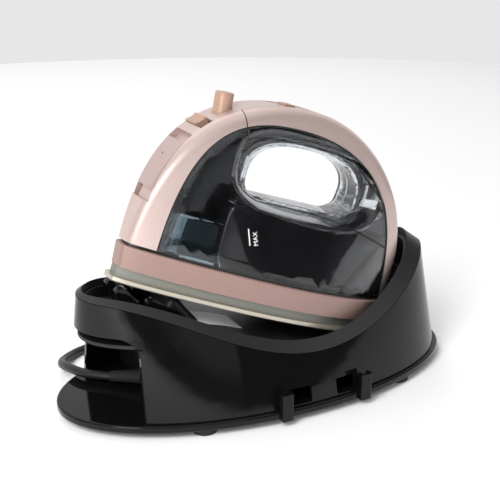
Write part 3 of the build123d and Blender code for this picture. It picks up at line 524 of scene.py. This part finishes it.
# construction piece: name of its dished copy, material slot
dished_pieces = {
    "window_left": ("clear_side_left", "smoke_clear"),
    "window_right": ("clear_side_right", "smoke_clear"),
    "handle_core": ("handle_core_dished", "black_satin"),
    "inner_housing": ("inner_housing_dished", "black_satin"),
    "pump_block": ("pump_block_dished", "inner_plastic"),
}
dished = {}
for name, (new_name, slot) in dished_pieces.items():
    piece = welded_copy(name, new_name)
    if name == "handle_core":
        cut_away(piece, rounded_bar(core_opening_middle, core_opening_half))
    draw_in(piece)
    pick(piece)
    bpy.ops.object.shade_smooth_by_angle(angle=smooth_below)
    even_out = piece.modifiers.new("even_out", "WEIGHTED_NORMAL")
    even_out.keep_sharp, even_out.weight = True, face_weight
    bpy.ops.object.modifier_apply(modifier=even_out.name)
    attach(piece, "iron")
    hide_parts(name)
    dished[name] = piece
    print(piece.name, "has", len(piece.data.polygons), "faces")

# %% [markdown]
# ## Pale deck under the grip
# Between the dark housing and the opening lies a pale satin plate whose pale colour is a painted
# highlight: it gives the bright shoulder under the fingers. It is the housing's own top face,
# taken off a copy, raised a little and pushed into the same dish.

# %% Deck
# painted highlight: the pale colour of the deck stands in for the bright shoulder under the grip
pale = finish("deck_painted_highlight", (0.74, 0.76, 0.78), 0.22)
tint(pale, (0.72, 0.74, 0.76), (0.76, 0.78, 0.80), 600)
deck_shrink, deck_shift, deck_lift, face_slack = 0.97, 0.0004, 0.0001, 0.0003
deck = welded_copy("inner_housing", "grip_deck")
form = bmesh.new()
form.from_mesh(deck.data)
form.transform(unseat)
deck_height = max(v.co.z for v in form.verts)
kept = {f for f in form.faces
        if f.normal.z > 0.9 and f.calc_center_median().z > deck_height - face_slack}
bmesh.ops.delete(form, geom=[f for f in form.faces if f not in kept], context="FACES")
for v in form.verts:
    v.co = Vector((v.co.x * deck_shrink + deck_shift, v.co.y * deck_shrink, v.co.z + deck_lift))
form.transform(seat)
form.to_mesh(deck.data)
form.free()
draw_in(deck)
thicken(deck, 0.00012, offset=1.0)
dress(deck, pale, "iron")
print("deck faces:", len(deck.data.polygons), "height", round(deck_height, 4))

# %% [markdown]
# ## Joint lines of the clear sides
# Each clear side is two mouldings that meet in a fine dark line: it comes down from the cover's
# joint in front of the grip, turns under the opening and runs aft to the heel. A second dark
# line, the seal, follows the edge of the metal-look cover. Both are drawn flat beside the iron,
# pressed sideways onto the curved surface and given a thin round section.

# %% Lines pressed onto the sides
joint_route = [(-0.067, 0.126), (-0.0645, 0.1098), (-0.0615, 0.093), (-0.0565, 0.082),
               (-0.048, 0.0762), (-0.036, 0.0745), (-0.010, 0.0748), (0.022, 0.0745),
               (0.040, 0.0715), (0.058, 0.0675), (0.069, 0.064)]
arch_front, arch_rear, front_fullness, rear_fullness = -0.1049, 0.0739, 0.745, 0.658
joint_bead, seal_bead, seal_inset = 0.00045, 0.0005, 0.0007
# flat drawings start this far out to the side; a corner still that far out has hit nothing
beside, missed_beyond = 0.06, 0.055


def arch_route(inset, steps=24):
    """The window's outline: two quarter arcs, each bulging more than an ellipse."""
    low, high, top_x = dome_low, dome_high - inset, dome_middle
    quarters = ((arch_front + inset, front_fullness, range(steps + 1)),
                (arch_rear - inset, rear_fullness, range(steps - 1, -1, -1)))
    route = []
    for end, fullness, order in quarters:
        corners = [(end, low), (end, low + (high - low) * fullness),
                   (top_x + (end - top_x) * fullness, high), (top_x, high)]
        for i in order:
            t = i / steps
            weights = ((1 - t) ** 3, 3 * t * (1 - t) ** 2, 3 * t * t * (1 - t), t ** 3)
            route.append(tuple(sum(w * c[k] for w, c in zip(weights, corners)) for k in (0, 1)))
    return route


def drawn_line(name, route, side, target, thickness, smooth=True):
    """A route of the side view, laid on one clear side as a thin round bead."""
    path = bpy.data.curves.new(name, "CURVE")
    path.dimensions = "3D"
    run = path.splines.new("NURBS" if smooth else "POLY")
    run.points.add(len(route) - 1)
    for point, (x, z) in zip(run.points, route):
        point.co = (*(seat @ Vector((x, side * beside, z))), 1)
    if smooth:
        run.order_u, run.use_endpoint_u, run.resolution_u = 3, True, 10
    bead = bpy.data.objects.new(name, path)
    bpy.context.collection.objects.link(bead)
    pick(bead)
    bpy.ops.object.convert(target="MESH")
    press_on(bead, side, target, 0.0)
    form = bmesh.new()
    form.from_mesh(bead.data)
    missed = [v for v in form.verts if abs(v.co.y) > missed_beyond]
    missed_count = len(missed)
    bmesh.ops.delete(form, geom=missed, context="VERTS")
    form.to_mesh(bead.data)
    form.free()
    pick(bead)
    bpy.ops.object.convert(target="CURVE")
    bead.data.bevel_depth, bead.data.bevel_resolution, bead.data.use_fill_caps = thickness, 2, True
    bpy.ops.object.convert(target="MESH")
    bpy.ops.object.shade_smooth_by_angle(angle=radians(40))
    print(name, "vertices", len(bead.data.vertices), "missed", missed_count)
    return bead


def press_on(piece, side, target, lift):
    """Move a flat piece sideways until it lies on the target's outer face."""
    pick(piece)
    press = piece.modifiers.new("press", "SHRINKWRAP")
    press.wrap_method, press.target = "PROJECT", target
    press.use_project_x, press.use_project_y, press.use_project_z = False, True, False
    press.use_negative_direction, press.use_positive_direction = side > 0, side < 0
    press.offset = lift
    bpy.ops.object.modifier_apply(modifier=press.name)


clear_sides = {}
for name in ("window_left", "window_right"):
    middle = sum(v.co.y for v in dished[name].data.vertices)
    clear_sides[1 if middle > 0 else -1] = dished[name]
for side, clear_side in clear_sides.items():
    # in the names of lines and ribs, left is towards +Y; clear_side_left lies towards -Y
    hand = "left" if side > 0 else "right"
    joint = drawn_line("clear_joint_" + hand, joint_route, side, clear_side, joint_bead)
    dress(joint, inner_dark, "iron")
    seal = drawn_line("window_seal_" + hand, arch_route(seal_inset), side, clear_side, seal_bead,
                      smooth=False)
    dress(seal, inner_dark, "iron")

# %% [markdown]
# ## Water level mark
# A short upright line and the word MAX beside it, printed in white on the clear side that faces
# us. The line stands plumb when the iron sits on its stand.

# %% Printed mark
ink = finish("white_ink", (0.80, 0.80, 0.80), 0.5)
tint(ink, (0.76, 0.76, 0.76), (0.84, 0.84, 0.84), 1500)
line_place = seat @ Vector((-0.0484, -beside, 0.0524))
word_place = seat @ Vector((-0.0408, -beside, 0.0482))
line_width, line_height, letter_size = 0.0008, 0.0112, 0.0045
print_lift = print_thickness = 0.00006
bpy.ops.object.select_all(action="DESELECT")
bpy.ops.mesh.primitive_grid_add(x_subdivisions=2, y_subdivisions=16, size=1, location=line_place,
                                rotation=(pi / 2, 0, 0))
level_line = bpy.context.object
level_line.scale = (line_width, line_height, 1)
bpy.ops.object.transform_apply(location=True, rotation=True, scale=True)
bpy.ops.object.select_all(action="DESELECT")
bpy.ops.object.text_add(location=word_place)
word = bpy.context.object
word.data.body, word.data.size = "MAX", letter_size
word.data.resolution_u = 3
# the word reads upwards, its letters' tops towards the nose
word.rotation_euler = Matrix(((0, -1, 0), (0, 0, -1), (1, 0, 0))).to_euler()
bpy.ops.object.convert(target="MESH")
bpy.ops.object.transform_apply(location=True, rotation=True, scale=True)
level_line.select_set(True)
bpy.context.view_layer.objects.active = level_line
bpy.ops.object.join()
level_line.name = "level_mark"
press_on(level_line, -1, clear_sides[-1], print_lift)
thicken(level_line, print_thickness)
dress(level_line, ink, "iron")
print("level mark spans", [round(v, 4) for v in level_line.dimensions])

# %% [markdown]
# ## Blank label
# A pale label lies on the sloping tray under the iron; its text is left out. It is dropped onto
# the tray from above, and its front end runs on into the foot of the iron's rest.

# %% Label on the tray
paper_label = finish("label_film", (0.90, 0.90, 0.92), 0.35)
tint(paper_label, (0.88, 0.88, 0.90), (0.94, 0.94, 0.96), 700)
label_place, label_long, label_wide = (-0.045, -0.007, 0.09), 0.042, 0.026
label_lift, label_thickness = 0.0002, 0.00015
bpy.ops.object.select_all(action="DESELECT")
bpy.ops.mesh.primitive_grid_add(x_subdivisions=24, y_subdivisions=16, size=1,
                                location=label_place)
label = bpy.context.object
label.name = "tray_label"
label.scale = (label_long, label_wide, 1)
bpy.ops.object.transform_apply(location=True, rotation=True, scale=True)
lay = label.modifiers.new("lay", "SHRINKWRAP")
lay.wrap_method, lay.target = "PROJECT", nodes["tray"]
lay.use_project_x, lay.use_project_y, lay.use_project_z = False, False, True
lay.use_negative_direction, lay.use_positive_direction, lay.offset = True, False, label_lift
bpy.ops.object.modifier_apply(modifier=lay.name)
thicken(label, label_thickness)
dress(label, paper_label, "stand")
print("label height over the floor:", [round(v.co.z, 4) for v in list(label.data.vertices)[:3]])

# %% [markdown]
# ## Rests under the nose
# Two pairs of round-topped ribs stand on the tray and guide the nose of the soleplate down when
# the iron is set back. Each is the skin stretched over two rollers, its edges rounded. Their
# feet are sunk into what carries them, the rear pair's into the iron's rest as well.

# %% Ribs
rib_width, knob_radius, foot_radius, edge_round = 0.007, 0.0045, 0.006, 0.0009


def rest_rib(name, knob, foot, side_place):
    """A rib between a knob and a foot, both given in the side view."""
    bpy.ops.object.select_all(action="DESELECT")
    rollers = []
    for (x, z), radius in ((knob, knob_radius), (foot, foot_radius)):
        bpy.ops.mesh.primitive_cylinder_add(vertices=40, radius=radius, depth=rib_width,
                                            location=(x, side_place, z), rotation=(pi / 2, 0, 0))
        rollers.append(bpy.context.object)
    for roller in rollers:
        roller.select_set(True)
    bpy.context.view_layer.objects.active = rollers[0]
    bpy.ops.object.join()
    rib = bpy.context.object
    rib.name = name
    bpy.ops.object.transform_apply(location=True, rotation=True, scale=True)
    bpy.ops.object.mode_set(mode="EDIT")
    bpy.ops.mesh.select_all(action="SELECT")
    bpy.ops.mesh.convex_hull()
    bpy.ops.mesh.normals_make_consistent(inside=False)
    bpy.ops.object.mode_set(mode="OBJECT")
    rounding = rib.modifiers.new("rounding", "BEVEL")
    rounding.width, rounding.segments, rounding.limit_method = edge_round, 3, "ANGLE"
    bpy.ops.object.modifier_apply(modifier=rounding.name)
    bpy.ops.object.shade_smooth_by_angle(angle=radians(35))
    dress(rib, gloss, "stand")


for hand, side in (("right", -1), ("left", 1)):
    rest_rib("nose_rib_" + hand, (-0.109, 0.0885), (-0.098, 0.069), side * 0.0095)
    rest_rib("guide_rib_" + hand, (-0.0895, 0.0785), (-0.074, 0.0655), side * 0.0150)

# %% [markdown]
# ## Gasket in the cover joint
# The nose cover and the handle cover meet just behind the spray button. A thin dark gasket fills
# the joint and stands a hair proud of the lacquer, so the joint reads as a crisp line. It is the
# handle cover's own front end, taken off a copy and spread a little in width and height.

# %% Gasket
joint_depth, wider, taller = 0.012, 1.010, 1.014
gasket = welded_copy("handle_cover", "cover_gasket")
form = bmesh.new()
form.from_mesh(gasket.data)
form.transform(unseat)
joint_x = min(v.co.x for v in form.verts)
ends = {f for f in form.faces
        if f.normal.x < -0.7 and f.calc_center_median().x < joint_x + joint_depth}
bmesh.ops.delete(form, geom=[f for f in form.faces if f not in ends], context="FACES")
middle = sum((v.co for v in form.verts), Vector()) / len(form.verts)
for v in form.verts:
    v.co = Vector((v.co.x, middle.y + (v.co.y - middle.y) * wider,
                   middle.z + (v.co.z - middle.z) * taller))
form.transform(seat)
form.to_mesh(gasket.data)
form.free()
print("gasket faces:", len(gasket.data.polygons), "joint at", round(joint_x, 4))
thicken(gasket, 0.0006, offset=0.0)
dress(gasket, inner_dark, "iron")
